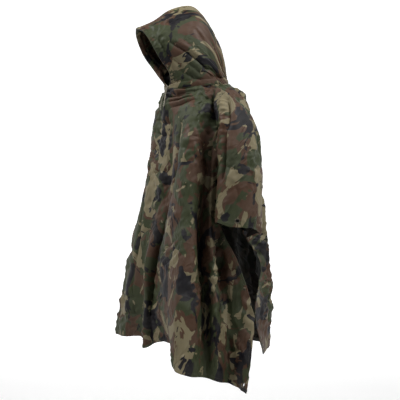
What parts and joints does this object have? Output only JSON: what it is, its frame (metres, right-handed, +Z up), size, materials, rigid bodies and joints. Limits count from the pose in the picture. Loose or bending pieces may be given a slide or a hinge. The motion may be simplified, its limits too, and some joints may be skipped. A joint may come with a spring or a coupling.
{
  "type": "rain poncho",
  "caption": "Hooded rain poncho in woodland camouflage, hollow as worn, open at face, arms, sides and hem, with drawcord, snaps and corner grommets.",
  "frame": {"origin": "inside the neck opening, at the height of the shoulders, where the wearer holds it up", "axes": "+Z up, the front faces -Y and the wearer's left side is +X"},
  "size_m": [0.8783, 0.4796, 1.4],
  "materials": {
    "coated_cloth": "thin coated polyester with a soft sheen, woodland camouflage",
    "cord": "braided cord",
    "blackened_metal": "blackened brass, worn at the edges",
    "snap_metal": "dark enamelled snap cap"
  },
  "bodies": {
    "root": {"front_panel": "coated_cloth", "grommet_front_right_corner": "blackened_metal", "grommet_front_left_corner": "blackened_metal", "grommet_right_side": "blackened_metal", "grommet_left_side": "blackened_metal", "snap_front_right_1": "snap_metal", "snap_front_right_2": "snap_metal", "snap_front_right_3": "snap_metal", "snap_front_left_1": "snap_metal", "snap_front_left_2": "snap_metal", "snap_front_left_3": "snap_metal", "back_panel": "coated_cloth", "grommet_back_left_corner": "blackened_metal", "grommet_back_right_corner": "blackened_metal", "snap_back_left_1": "snap_metal", "snap_back_left_2": "snap_metal", "snap_back_left_3": "snap_metal", "snap_back_right_1": "snap_metal", "snap_back_right_2": "snap_metal", "snap_back_right_3": "snap_metal", "hood_left": "coated_cloth", "hood_right": "coated_cloth", "hood_rim_casing": "coated_cloth", "neck_band": "coated_cloth", "drawcord_left": "cord", "cord_knot_left": "cord", "drawcord_right": "cord", "cord_knot_right": "cord"}
  },
  "joints": []
}
